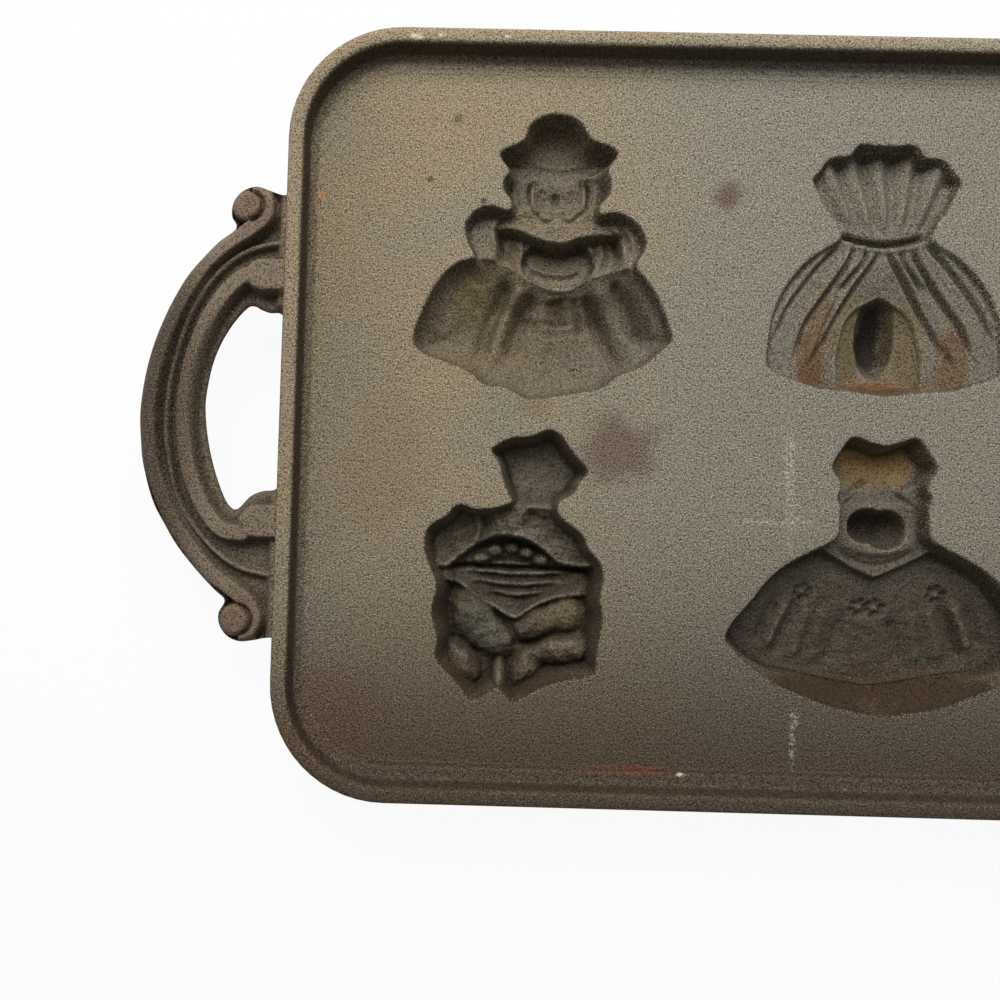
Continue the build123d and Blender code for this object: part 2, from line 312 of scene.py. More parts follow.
def girl_depth(x, y, edge):
    """Depth of the girl in a hat who holds a bowl."""
    brim_line = [(-14, 28.5), (-6.5, 25.6), (1.5, 24.6), (9, 25.3), (15, 27.5), (21, 30.5)]
    crescent = [(-13.5, 9.5), (-8.5, 9), (-3.5, 6.8), (1.5, 5.2), (6.5, 5.2), (12, 7.3), (25, 8.5)]
    waist = [
        (-21, 0), (-15, -0.2), (-9.5, -2), (-5.5, -4.8), (-0.5, -7.7), (4.5, -9), (8.5, -8.2),
        (12.5, -5), (16.5, -3.7), (22, -2), (28, -3),
    ]
    depth = 4.0 + 0 * x
    for side, middle in ((-1, -8.3), (1, 15.6)):
        curls = 4.0 + 3.4 * dome(x, y, (middle, 21.3), (4.6, 7.2))
        for lock in (middle - 1.6, middle + 0.2, middle + 2.0):
            line = [(lock, 26.5), (lock + 0.5 * side, 22), (lock - 0.4 * side, 17)]
            curls += 0.9 * stroke(x, y, line, 0.5)
        depth = deeper(depth, curls, 0.6)
    face = 3.2 + 6.4 * dome(x, y, (3.8, 20.4), (8.4, 8.8))
    face += 1.6 * dome(x, y, (3.2, 20.4), (1.5, 2.2))
    for eye in (-0.6, 7.8):
        face -= 0.9 * dome(x, y, (eye, 22.2), (2.6, 1.8))
        face += 0.7 * dome(x, y, (eye, 21.9), (1.3, 1.0))
    face -= 0.8 * stroke(x, y, [(0.6, 17.0), (3.6, 16.2), (6.6, 17.0)], 0.55)
    depth = deeper(depth, face, 0.4)
    depth = carved(
        depth, x, y,
        (2.4, 0.7, [(-4.6, 25), (-5.2, 20), (-4.0, 16), (-1.0, 12.4)]),
        (2.4, 0.7, [(12.4, 25), (13.0, 20), (11.8, 16), (8.8, 12.8)]),
    )
    chest = 4.0 + 0.16 * (y - 5)
    collar = [(-4.5, 16.5), (0.2, 12.2), (3.6, 14.9), (7.2, 12.4), (12, 16.5)]
    chest += 1.0 * above(x, y, collar, 0.25)
    chest += 1.6 * stroke(x, y, collar, 0.6)
    depth = blended(depth, chest, 1 - ramp(y, 12.5, 15.5))
    depth = deeper(depth, chest * above(x, y, collar, 0.25) * (1 - ramp(y, 15, 17)), 0.5)
    hat = 10.6 - 0.14 * (37 - y) + 0.9 * dome(x, y, (3.8, 34), (11, 9))
    hat = carved(
        hat, x, y,
        (-0.7, 0.7, [(-8, 34), (0, 31.2), (8, 31.2), (15.5, 34)]),
        (0.6, 0.6, [(-9, 32), (0, 29.4), (8, 29.4), (16.5, 32)]),
    )
    hat -= 2.2 * ramp(np.abs(x - 3.8), 9, 17)
    hat = np.minimum(hat, rounded_wall(edge, 6.5, 10.6))
    depth = blended(depth, hat, above(x, y, brim_line, 0.4))
    for centre, size in (((-17.2, 6.8), (7.8, 8.4)), ((23.2, 6.2), (8.0, 8.0))):
        depth = deeper(depth, 3.2 + 1.4 * dome(x, y, centre, size), 0.6)
    arms = 9.8 - 0.30 * (7 - y)
    bowl = 12.8 - 0.30 * (6 - y) + 0.8 * dome(x, y, (4.2, 0), (12, 9))
    arms = blended(arms, bowl, ramp(dome(x, y, (4.2, 0.6), (11.8, 8.8)), 0.25, 0.5))
    arms += (
        1.5 * dome(x, y, (-9.5, 2.2), (3.4, 6.4), 0.6)
        + 1.5 * dome(x, y, (19, 2.8), (7, 3.4), 0.45)
    )
    for line in (
        [(-7, 7.5), (-6.8, 2), (-4, -3.4)], [(-11, 7), (-11.8, 3), (-9.5, -1.2)],
        [(13.8, 7.5), (14.2, 2), (12.4, -3)], [(17, 8), (18, 3.5), (15.8, -1.8)],
    ):
        arms = carved(arms, x, y, (-0.7, 0.7, line), (0.7, 0.7, moved(line, 1.3, 0)))
    arms = carved(
        arms, x, y,
        (-0.9, 0.55, [(-4.5, 0.6), (1, -1.8), (7.5, -1.8), (11.5, 0.2)]),
        (0.8, 0.6, [(-4.5, -1.0), (1, -3.4), (7.5, -3.4), (11.5, -1.2)]),
    )
    lap = (1 - above(x, y, crescent, 0.7)) * above(x, y, waist, 0.5)
    lap *= ramp(x, -15.5, -12.5) * (1 - ramp(x, 21, 25))
    depth = carved(
        blended(depth, arms, lap), x, y,
        (1.2, 0.8, [(-12.6, 13), (-13.9, 9), (-12.6, 4.5), (-10.5, 1.5)]),
        (-1.0, 0.8, [(-14.6, 12.5), (-15.8, 9), (-14.6, 4.5), (-12.5, 1.5)]),
    )
    for line in ([(19, 10.5), (21.5, 7), (22.5, 1.5)], [(22, 11), (24.6, 7), (25.4, 2)]):
        depth = carved(depth, x, y, (1.0, 0.7, line), (-0.8, 0.7, moved(line, 1.4, 0.3)))
    below = reach_to_line(x, y, smooth_outline(waist, closed=False, steps=4))[0]
    skirt = shallower(rounded_wall(edge, 16, 12.6), 5.4 + 0.66 * below, 1.0) + 0.25 * crust(x, y)
    for points, swell, width in (
        ([(-10, -5), (-13.5, -11.5), (-16.5, -18.5), (-19, -29)], 3.0, 2.3),
        ([(-6.5, -6.5), (-10.2, -13), (-13.2, -20.5), (-15, -32)], -1.8, 2.4),
        ([(-2.5, -9), (-5.4, -14.5), (-8, -20.5), (-10, -29)], 2.8, 2.4),
        ([(2, -14), (0.5, -20), (-1, -30), (-2, -39)], -1.5, 3.2),
        ([(3.5, -10.5), (4.0, -14), (4.2, -19)], 2.6, 3.4),
        ([(9, -10), (10.5, -15), (12, -21)], 1.6, 1.2),
        ([(8, -17), (9.5, -24), (11, -33)], -1.6, 2.6),
        ([(12, -8.2), (15.6, -15.5), (19.2, -23), (23.2, -31.5)], 3.2, 2.0),
        ([(15.8, -6), (20.4, -14.5), (25, -22.5), (29.5, -30)], -1.9, 2.5),
        ([(20.5, -4.5), (25.5, -13), (30, -24)], 2.0, 1.6),
        ([(26.5, -5), (31, -13.5), (35, -23.5)], -1.4, 1.6),
        ([(-19, -6), (-25, -14), (-29, -25)], -1.8, 4.2),
    ):
        skirt += swell * stroke(x, y, points, width) * ramp(edge, 0, 5)
    depth = blended(depth, skirt, 1 - above(x, y, waist, 0.35))
    return shallower(depth, STEEP * edge, 1.4)


def child_depth(x, y, edge):
    """Depth of the seated child with a basket in its lap."""
    arch = [
        (-19, -3.5), (-15.5, -0.5), (-11, 3), (-6, 5.6), (-1.5, 6.4), (4.5, 5.4), (9.5, 2.6),
        (14, -1.2), (17.5, -2.2), (22, -2.4),
    ]
    front = [
        (-24, -6), (-17, -8), (-13, -10.2), (-9, -13.3), (-4, -15.8), (1.8, -18.6), (6.5, -15.8),
        (11, -13.6), (15.5, -12.3), (21, -11.4), (28, -11),
    ]
    head = 3.5 + 6.6 * dome(x, y, (8.2, 26.5), (16, 12.5))
    head -= 0.6 * stroke(x, y, [(1, 30), (5, 33), (11, 33.5)], 1.5)
    arms = 4.6 + 3.6 * dome(x, y, (-14.5, 6.5), (11.5, 9.5)) + 0.10 * (12 - y)
    arms = deeper(arms, 4.8 + 3.6 * dome(x, y, (14.5, 4.5), (14, 6.8), -0.72), 1.0)
    arms = carved(
        arms, x, y,
        (-1.2, 0.9, [(-10.5, 13), (-9.5, 8.5), (-11, 3.5)]),
        (0.8, 0.8, [(-8.5, 13), (-7.3, 8.5), (-8.5, 4.5)]),
        (0.9, 0.9, [(3, 16), (6, 13), (12, 11.5)]),
    )
    depth = blended(arms + 0.6 * crust(y, x), head, ramp(y, 14.5, 18))
    loaves = 13.6 - 0.25 * (4.5 - y)
    for place in ((-9, -0.6), (-4.6, 2.0), (0.3, 2.9), (5.0, 1.6), (9.2, -0.6)):
        loaves -= 2.6 * dome(x, y, place, (2.6, 1.9))
    loaves += 1.2 * stroke(x, y, [(-8, -1.8), (0, -0.6), (8, -1.8)], 0.7)
    wicker = 12.6 + 0.20 * (y + 3.4)
    for drop, half in ((-6.4, 16), (-9.6, 13), (-12.6, 8)):
        wicker = carved(
            wicker, x, y,
            (1.3, 0.8, [(2 - half, drop + 1.4), (2, drop), (2 + half, drop + 1.2)]),
            (-0.7, 0.9, [(2 - half, drop + 3), (2, drop + 1.6), (2 + half, drop + 2.8)]),
        )
    rim_line = [(-24, -3.4), (-12.5, -2.6), (-3, -3.1), (9, -3.1), (18, -3.0), (28, -3.6)]
    basket = blended(wicker, loaves, above(x, y, rim_line, 0.4))
    basket += 3.0 * stroke(x, y, rim_line, 0.8)
    at_side = (1 - ramp(x, -19.5, -15)) * (1 - above(x, y, [(-26, -1.5), (-17, -4)], 1.5))
    basket = blended(basket, 7.5, at_side)
    depth = blended(depth, basket, 1 - above(x, y, arch, 0.55))
    legs = 14.6 - 0.36 * np.maximum(-19 - y, 0)
    legs = deeper(legs, 14.8 - 1.2 * dome(x, y, (0, -17), (30, 6)), 1.0)
    for height, centre, half, turn in (
        (7.2, (-10.5, -17.5), (7.5, 9.5), 0.25), (7.6, (-5.2, -23.8), (9.5, 7), -0.45),
        (7.4, (8.5, -19.5), (10, 5.2), 0.45), (8.6, (16.8, -17.2), (7.0, 6.2), 0.0),
        (6.4, (16.8, -27.2), (10.5, 5.6), 0.05), (5.8, (-14, -32), (8.5, 5.4), -0.95),
        (6.6, (5.2, -33.2), (8.5, 5.0), 0.95),
    ):
        legs = shallower(legs, 14.6 - (14.6 - height) * dome(x, y, centre, half, turn) ** 1.3, 2.4)
    legs = carved(
        legs, x, y,
        (1.8, 1.0, [(-2.5, -18.5), (2.0, -23.5), (1.0, -28)]),
        (1.6, 0.9, [(2.5, -26), (8, -25.2), (13.5, -23.2), (22, -23)]),
        (1.6, 0.9, [(-19, -23.5), (-13, -27), (-6, -29.5)]),
        (1.4, 0.8, [(9.5, -36), (9.2, -31.5), (6, -28.5)]),
    )
    depth = blended(depth, legs, 1 - above(x, y, front, 0.45))
    depth -= 1.8 * stroke(x, y, moved(front[1:-1], 0, 1.0), 0.9)
    depth += 0.7 * crust(x, y) * ramp(edge, 1, 4)
    depth = blended(depth, 1.5, dome(x, y, (-2.6, -37), (2.6, 7)))
    return shallower(depth, STEEP * edge, 1.6)


def sheaf_depth(x, y, edge):
    """Depth of the tied sheaf, with the arched hollow at its foot."""
    across = np.abs(x)
    spread = np.arctan2(across, y + 12)
    fan = 2.8 + 3.6 * ramp(y, 14, 34) * (1 - 0.75 * ramp(across, 5, 17))
    fan -= 1.1 * np.cos(spread * 34) * ramp(y, 10, 16)
    foot = 2.2 + 3.6 * (1 - ramp(across, 4, 30)) * ramp(-y, -6, 16)
    stalks = [
        ([(11.8, 7.8), (18.5, 1), (23.5, -5.5), (28.5, -13), (32, -22)], 1.2, 0.5),
        ([(8.4, 6.8), (10.5, 1.5), (14, -4), (18.5, -10.5), (23, -17.5), (26, -27)], 1.5, 0.6),
        ([(4.8, 7), (5.8, 2), (9, -2), (12, -6)], 1.3, 0.5),
        ([(1, 5), (4.5, -0.5), (7.5, -5), (14, -16), (19.5, -27)], 1.5, 0.6),
        ([(12, -8), (17, -18), (21, -29)], 0.8, 0.5),
    ]
    for points, cut, width in stalks:
        raised = moved(points, 1.3, 0.5)
        foot = carved(foot, across, y, (1.3 * cut, width, points), (-0.8 * cut, 1.0, raised))
    waist = both_sides([(-14, 9.4), (-8, 7.2), (0, 6.2)])
    depth = carved(
        blended(foot, fan, above(x, y, waist, 0.4)), x, y,
        (2.6, 0.9, both_sides([(-13.6, 10.6), (-8, 8.6), (0, 7.4)])),
        (-0.8, 0.9, both_sides([(-13, 8.2), (-8, 6.3), (0, 5.2)])),
    )
    arch = [
        (0, -7.5), (-4, -9.4), (-8, -12), (-10.6, -16), (-12, -21), (-13, -27), (-12.6, -34),
        (-11.5, -37.5),
    ]
    hollow_line = smooth_outline(arch, closed=False)
    hollow_loop = np.vstack([hollow_line, hollow_line[::-1] * (-1, 1)])
    hollow_edge = inward_reach(x, y, [hollow_loop])[0]
    hollow = 6.0 + 0.35 * np.maximum(hollow_edge, 0)
    hollow += 5.5 * dome(x, y, (0, -19), (6.0, 13)) ** 1.4
    hollow = shallower(hollow, 4.0 + 3.2 * np.maximum(hollow_edge, 0), 1.2)
    depth = blended(depth, hollow, ramp(hollow_edge, -0.3, 0.3))
    return shallower(depth, (2.4 + 1.8 * ramp(y, 14, 30)) * edge, 1.0)


def lady_depth(x, y, edge):
    """Depth of the lady in a hoop skirt with two posies."""
    across = np.abs(x)
    hem = both_sides([
        (-44, -19), (-38, -23.5), (-31.5, -26.5), (-27.5, -27.2), (-20, -28.6), (-13, -30.2),
        (-7, -31.3), (0, -32),
    ])
    waist = both_sides([(-19, 10.5), (-11.5, 6), (-6, 3.2), (-2, 1.4), (0, 0.8)])
    skirt = 8.6 + 4.2 * ramp(-y, -4, 26) - 2.4 * ramp(across, 14, 42)
    skirt += 0.8 * dome(x, y, (0, -14), (34, 20)) + 0.3 * crust(0.6 * x, y)
    for side in (-1, 1):
        for swell, width, points in (
            (1.5, 1.6, [(21, -6), (23, -11), (25.5, -17), (28, -24)]),
            (-1.5, 1.5, [(24.5, -7), (27.5, -13.5), (30.5, -21)]),
            (1.4, 1.5, [(28.5, -6), (31.5, -13), (34, -20)]),
            (-1.2, 1.8, [(17.5, -8), (20, -16), (22, -25)]),
            (1.2, 1.8, [(7, -12), (9, -18), (11, -26)]),
            (-1.0, 1.8, [(12.5, -9), (14.5, -17), (16, -26)]),
        ):
            skirt += swell * stroke(x, y, [(side * px, py) for px, py in points], width)
        for centre, radius in (((20, -4.2), 3.3), ((2.4, -8.8), 3.4)):
            middle = (side * centre[0], centre[1])
            skirt += 0.6 * dome(x, y, middle, (radius, radius))
            for n in range(6):
                turn = n * math.pi / 3 + 0.3
                out = 0.62 * radius
                petal = (middle[0] + out * math.cos(turn), middle[1] + out * math.sin(turn))
                skirt += 0.8 * dome(x, y, petal, (1.15, 0.95), turn)
            skirt -= 0.9 * dome(x, y, middle, (0.9, 0.9))
    bodice = 5.4 - 0.10 * (y - 8) + 0.8 * dome(x, y, (0, 6), (13, 5))
    cuff = both_sides([(-11, 19), (-10.8, 13.5), (-7, 9.8), (0, 8.4)])
    bodice -= 1.8 * stroke(x, y, cuff, 1.2)
    sleeve = deeper(dome(x, y, (-2.6, 16), (6.2, 5.4)), dome(x, y, (2.6, 15), (6.2, 6.0)), 0.2) ** 1.3
    bodice = deeper(bodice, 4.6 + 8.4 * sleeve, 1.2)
    bodice += 0.7 * stroke(x, y, both_sides([(-12, 9.5), (-7, 6.2), (0, 4.6)]), 0.7)
    depth = blended(bodice, skirt, 1 - above(x, y, waist, 0.5))
    depth = blended(depth, 5.2 + 0.3 * (y - 22), ramp(y, 21.5, 23.5))
    head = 4.5 + 4.6 * dome(x, y, (0, 34.5), (15, 9))
    head = carved(
        head, x, y,
        (1.2, 1.1, [(-9, 25), (-5, 27.6), (-1.5, 30.2)]),
        (-0.8, 1.2, [(-11, 37), (-6, 38.4), (0, 37)]),
    )
    chin = both_sides([(-12, 21.5), (-8, 24.3), (-5, 27), (0, 29.5)])
    depth = blended(depth, head, above(x, y, chin, 0.4))
    depth -= 1.4 * stroke(x, y, moved(hem, 0, 0.6), 0.7)
    return shallower(depth, blended(1.9 * edge, 4.0 * edge, above(x, y, hem, 0.3)), 1.2)


# Each figure's centre, outline, depth, and how dark its hollows are painted: dark seasoning and painted
# shade
FIGURES = {
    "girl": (GIRL_AT, GIRL_OUTLINE, girl_depth, 0.68),
    "child": (CHILD_AT, CHILD_OUTLINE, child_depth, 1.0),
    "sheaf": (SHEAF_AT, SHEAF_OUTLINE, sheaf_depth, 0.62),
    "lady": (LADY_AT, LADY_OUTLINE, lady_depth, 0.95),
}
DEEPEST = 16.4
# The cups' lips lie this far under the plate's faces, so that only one of them shows
HAIR = 0.004
# A point is creased where it lies deeper than what is around it within this distance
CREASE_REACH = 1.9
# A cup's underside is flat where it comes this close to what the pan stands on
FLAT_BOTTOM = 1.2


class PanSizes(bpy.types.PropertyGroup):
    """Sizes of the casting that a user would change."""

    cup_step: bpy.props.FloatProperty(
        name="Cup detail", description="Spacing of the points that shape a cup",
        default=0.45 * MM, min=0.2 * MM, unit="LENGTH")
    wall: bpy.props.FloatProperty(
        name="Cup wall", description="Thickness of the iron round each cup",
        default=3.5 * MM, unit="LENGTH")
    edge_rounding: bpy.props.FloatProperty(
        name="Cup edge", description="Rounding where a cup meets the plate",
        default=0.9 * MM, unit="LENGTH")
    handle_step: bpy.props.FloatProperty(
        name="Handle detail", description="Spacing of the points that shape a handle",
        default=0.45 * MM, min=0.2 * MM, unit="LENGTH")


class PanColours(bpy.types.PropertyGroup):
    """Colours of the iron and its marks."""

    iron: bpy.props.FloatVectorProperty(
        name="Iron", description="Bare seasoned iron", subtype="COLOR", size=3,
        default=(0.249, 0.204, 0.141), min=0, max=1)
    # Mixed in by the hollow mark: dark seasoning in the cups, and painted shade in them, on the rim's
    # inner wall and in the handle channels
    patina_and_shade: bpy.props.FloatVectorProperty(
        name="Patina", description="Darker seasoning in the cups and on the walls",
        subtype="COLOR", size=3, default=(0.049, 0.036, 0.025), min=0, max=1)


class StageLook(bpy.types.PropertyGroup):
    """Camera and lamps."""

    lens: bpy.props.FloatProperty(
        name="Lens", description="Focal length of the camera in millimetres", default=27.9)
    lamp_power: bpy.props.FloatProperty(
        name="Lamp power", description="Power of the large lamp", default=7.66, subtype="POWER")
    fill: bpy.props.FloatProperty(
        name="Fill", description="Strength of the even light from all round", default=0.166)


def raster_of(outline, margin, step):
    """A regular grid of points round an outline: its two axes and the two coordinate arrays."""
    low = outline.min(axis=0) - margin
    high = outline.max(axis=0) + margin
    xs = np.arange(low[0], high[0] + step, step)
    ys = np.arange(low[1], high[1] + step, step)
    return xs, ys, *np.meshgrid(xs, ys)


def read_raster(x, y, xs, ys, values):
    """Values of a regular grid at other points, blended between the four nearest."""
    step = xs[1] - xs[0]
    u = np.clip((x - xs[0]) / step, 0, len(xs) - 1.001)
    v = np.clip((y - ys[0]) / step, 0, len(ys) - 1.001)
    i, j = u.astype(int), v.astype(int)
    u, v = u - i, v - j
    low = values[j, i] * (1 - u) + values[j, i + 1] * u
    high = values[j + 1, i] * (1 - u) + values[j + 1, i + 1] * u
    return low * (1 - v) + high * v


def grown(depth, step, wall):
    """The outside of a casting: its inside with a ball as thick as the wall rolled over it."""
    reach = int(wall / step)
    padded = np.pad(depth, reach, mode="edge")
    rows, columns = depth.shape
    outside = np.full(depth.shape, -1e9)
    for j in range(-reach, reach + 1):
        for i in range(-reach, reach + 1):
            apart = (i * i + j * j) * step * step
            if apart > wall * wall:
                continue
            moved = padded[reach + j:reach + j + rows, reach + i:reach + i + columns]
            outside = np.maximum(outside, moved + math.sqrt(wall * wall - apart))
    return outside


def blurred(values, reach):
    """A regular grid of values, each the mean of a square of them around it."""
    for axis in (0, 1):
        values = sum(np.roll(values, shift, axis) for shift in range(-reach, reach + 1)) / (2 * reach + 1)
    return values


def sheet_to_casting(name, loops, top, bottom, marks, step, keep, sharp=()):
    """A closed casting from a grid cut to an outline, with its top and underside at worked-out heights.

    Each point of its top is marked with how far down it lies and how sharply it is creased.
    The grid's points are drawn onto the sharp lines, so that these come out clean.
    """
    outline = loops[0]
    low, high = outline.min(axis=0) - keep - step, outline.max(axis=0) + keep + step
    size = high - low
    bm = bmesh.new()
    layers = [bm.verts.layers.float.new(mark) for mark in ("hollow", "crease")]
    bmesh.ops.create_grid(
        bm, x_segments=int(size[0] / step), y_segments=int(size[1] / step), size=0.5)
    bmesh.ops.scale(bm, vec=(size[0], size[1], 1), verts=bm.verts)
    middle = (low + high) / 2
    bmesh.ops.translate(bm, vec=(middle[0], middle[1], 0), verts=bm.verts)
    x, y = plan_of(bm.verts)
    reach = inward_reach(x, y, loops)[0]
    outer = [v for v, r in zip(bm.verts, reach) if r < -keep - 0.5 * step]
    bmesh.ops.delete(bm, geom=outer, context="VERTS")
    snap_to_edge(bm, loops, step, whole_edge=keep == 0)
    for line in sharp:
        snap_to_edge(bm, [line], step, whole_edge=False)
    made = bmesh.ops.extrude_face_region(bm, geom=bm.faces[:], use_keep_orig=True)
    upper = [g for g in made["geom"] if isinstance(g, bmesh.types.BMVert)]
    lifted = set(upper)
    lower = [v for v in bm.verts if v not in lifted]
    for layer, values in zip(layers, marks(*plan_of(upper))):
        for vert, value in zip(upper, values):
            vert[layer] = value
    for verts, height in ((upper, top), (lower, bottom)):
        for vert, z in zip(verts, height(*plan_of(verts))):
            vert.co.z = z
    return finished(name, bm)


def plan_of(verts):
    """The x and y of some points as two arrays."""
    places = np.array([v.co for v in verts])
    return places[:, 0], places[:, 1]


def snap_to_edge(bm, loops, step, whole_edge):
    """Moves the points that lie nearest to an outline onto it, so that the edge is clean."""
    bm.verts.ensure_lookup_table()
    x, y = plan_of(bm.verts)
    reach, edge_x, edge_y = inward_reach(x, y, loops)
    for vert, r, ex, ey in zip(bm.verts, reach, edge_x, edge_y):
        if abs(r) < 0.5 * step or (whole_edge and vert.is_boundary):
            vert.co.x, vert.co.y = ex, ey


def finished(name, bm, smooth=True):
    """Turns a casting modelled in millimetres into an object in metres, with its faces outwards."""
    bmesh.ops.remove_doubles(bm, verts=bm.verts, dist=0.001)
    bmesh.ops.recalc_face_normals(bm, faces=bm.faces)
    bmesh.ops.scale(bm, vec=(MM, MM, MM), verts=bm.verts)
    mesh = bpy.data.meshes.new(name)
    bm.to_mesh(mesh)
    bm.free()
    for polygon in mesh.polygons:
        polygon.use_smooth = smooth
    piece = bpy.data.objects.new(name, mesh)
    bpy.context.scene.collection.objects.link(piece)
    piece.data.materials.append(iron_material())
    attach(piece, "root")
    return piece


def cup_piece(figure, mirror_side):
    """One figure-shaped cup with the land round its mouth."""
    sizes = bpy.context.scene.pan_sizes
    step, wall, rounding = (value / MM for value in (sizes.cup_step, sizes.wall, sizes.edge_rounding))
    (centre_x, centre_y), points, depth_of, seasoning = FIGURES[figure]
    side = -1.0 if mirror_side else 1.0
    outline = eased(smooth_outline(points))
    node = f"cup_{figure}" if centre_x == 0 else f"cup_{figure}_{'right' if mirror_side else 'left'}"

    def depth(x, y):
        reach = inward_reach(x, y, [outline])[0]
        deep = deeper(depth_of(x, y, reach), 0 * x, rounding)
        return np.clip(deep, 0, DEEPEST)

    xs, ys, grid_x, grid_y = raster_of(outline, wall + 2, step)
    inner = depth(grid_x, grid_y)
    outside = grown(inner, step, wall)
    plate_thickness = PLATE_TOP - PLATE_BOTTOM
    outside = np.minimum(np.maximum(outside, plate_thickness), PLATE_TOP)
    outside = np.where(outside > PLATE_TOP - FLAT_BOTTOM, PLATE_TOP, outside)
    lip = lip_loop(node, centre_x, centre_y, side)
    crease = inner - blurred(inner, int(CREASE_REACH / step))

    def top(x, y):
        return PLATE_TOP - HAIR - depth(x, y)

    def bottom(x, y):
        return PLATE_TOP + HAIR - read_raster(x, y, xs, ys, outside)

    def marks(x, y):
        deep = read_raster(x, y, xs, ys, inner)
        # The hollow mark grows with depth: dark seasoning in the cups and painted shade in their hollows
        hollow = 0.7 * ramp(deep, 0.03, 0.6) + 0.3 * ramp(deep, 0.6, 9)
        # A band just inside the outline, added to the crease mark: painted shade where the wall falls
        # from the plate
        painted_edge_shade = 1.7 * np.exp(-((inward_reach(x, y, [outline])[0] - 0.3) / 0.55) ** 2)
        return seasoning * hollow, read_raster(x, y, xs, ys, crease) * ramp(deep, 0.5, 2.5) + painted_edge_shade

    piece = sheet_to_casting(
        f"{node}_iron", [lip], top, bottom, marks, step, keep=step, sharp=[outline])
    place = Matrix.Translation((side * centre_x * MM, centre_y * MM, 0))
    piece.data.transform(place @ Matrix.Diagonal((side, 1, 1, 1)))
    if mirror_side:
        piece.data.flip_normals()
    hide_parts(node)
    return piece


def lip_loop(node, centre_x, centre_y, side):
    """The edge of a cup's lip at the plate's top, about the cup's centre, from the cup's part in
    model.glb.
    """
    bm = bmesh.new()
    bm.from_mesh(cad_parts[node].data)
    bmesh.ops.remove_doubles(bm, verts=bm.verts, dist=1e-6)
    level = PLATE_TOP * MM
    rim_edges = [
        e for e in bm.edges
        if all(abs(v.co.z - level) < 1e-5 for v in e.verts)
        and sum(abs(f.normal.z) > 0.9 for f in e.link_faces) == 1
    ]
    loops = loops_of(rim_edges)
    longest = max(loops, key=lambda loop: float(np.ptp(loop[:, 0]) * np.ptp(loop[:, 1])))
    bm.free()
    return np.stack([side * (longest[:, 0] / MM) - centre_x, longest[:, 1] / MM - centre_y], axis=1)


def loops_of(edges):
    """Closed loops of points from a set of edges."""
    links = {}
    for edge in edges:
        a, b = edge.verts
        links.setdefault(a, []).append(b)
        links.setdefault(b, []).append(a)
    loops = []
    while links:
        start = next(iter(links))
        loop, here, last = [start], links[start][0], start
        while here is not start:
            loop.append(here)
            ahead = [v for v in links[here] if v is not last]
            last, here = here, ahead[0]
        for vert in loop:
            links.pop(vert)
        loops.append(np.array([v.co[:2] for v in loop]))
    return loops


def handle_piece(right_side):
    """A looped handle with two raised bands, a ridge between them and round bosses."""
    sizes = bpy.context.scene.pan_sizes
    step = sizes.handle_step / MM
    node = "handle_right" if right_side else "handle_left"
    low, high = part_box(node)[0][2] / MM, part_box(node)[1][2] / MM
    loops = [smooth_outline(HANDLE_OUTLINE), smooth_outline(FINGER_GAP)]
    outer_line, ridge_line, inner_line = (
        smooth_outline(line, closed=False) for line in (OUTER_BAND, MIDDLE_RIDGE, INNER_BAND))
    channel = high - CHANNEL_DROP

    def band(x, y, line, rise, half, soft):
        reach = reach_to_line(x, y, line)[0]
        return channel + rise * (1 - ramp(reach, half - soft, half + soft))

    def widest(x, y):
        """The height of the widest line nearby, and how far it is to the outer edge and to the gap."""
        outer_reach = np.maximum(inward_reach(x, y, [loops[0]])[0], 0)
        gap_reach = np.maximum(-inward_reach(x, y, [loops[1]])[0], 0)
        return high - 2.2 - 3.8 * ramp(outer_reach - gap_reach, -2, 2), outer_reach, gap_reach

    def top(x, y):
        height = band(x, y, ridge_line, RIDGE_RISE, 0.9, 0.6)
        for line in (outer_line, inner_line):
            height = np.maximum(height, band(x, y, line, BAND_RISE, 2.5, 0.55))
        for place in INNER_BOSSES:
            scroll = np.array([place, (-172.0, place[1])])
            height = np.maximum(height, band(x, y, scroll, BOSS_RISE, 4.9, 0.7))
        for place in OUTER_BOSSES:
            away = np.hypot(x - place[0], y - place[1])
            height = np.maximum(height, channel + BOSS_RISE * (1 - ramp(away, 4.2, 5.4)))
            height -= 2.4 * np.exp(-((away - 4.3) / 0.55) ** 2) * ramp(x, place[0] - 1, place[0] + 2)
        height = np.maximum(height, channel + ROOT_RISE * ramp(x, -179.5, -176.5))
        level, outer_reach, gap_reach = widest(x, y)
        height = shallower(height, level + 1.6 * gap_reach, 1.2)
        height = shallower(height, level + 1.2 * outer_reach, 1.4)
        return np.maximum(height, bottom(x, y))

    def bottom(x, y):
        level, outer_reach, gap_reach = widest(x, y)
        slope = level - 2.4 * np.minimum(outer_reach, gap_reach)
        return np.minimum(deeper(low + 0 * x, slope, 1.5), level)

    xs, ys, grid_x, grid_y = raster_of(loops[0], 2, step)
    level = top(grid_x, grid_y)
    crease = blurred(level, int(CREASE_REACH / step)) - level

    def marks(x, y):
        # Deeper in the channels gives a larger hollow mark: painted shade in the channels, with dark
        # seasoning
        return 0.55 * ramp(high - top(x, y), 0.8, 4.0), read_raster(x, y, xs, ys, crease)

    piece = sheet_to_casting(f"{node}_iron", loops, top, bottom, marks, step, keep=0)
    if right_side:
        piece.data.transform(Matrix.Diagonal((-1, 1, 1, 1)))
        piece.data.flip_normals()
    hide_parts(node)
    return piece


def rounded_rectangle(half_length, half_depth, radius, segments=14):
    """Points round a rectangle with round corners."""
    points = []
    for corner, (sx, sy) in enumerate(((1, 1), (-1, 1), (-1, -1), (1, -1))):
        for n in range(segments + 1):
            turn = (corner + n / segments) * math.pi / 2
            points.append((
                sx * (half_length - radius) + radius * math.cos(turn),
                sy * (half_depth - radius) + radius * math.sin(turn),
            ))
    return points


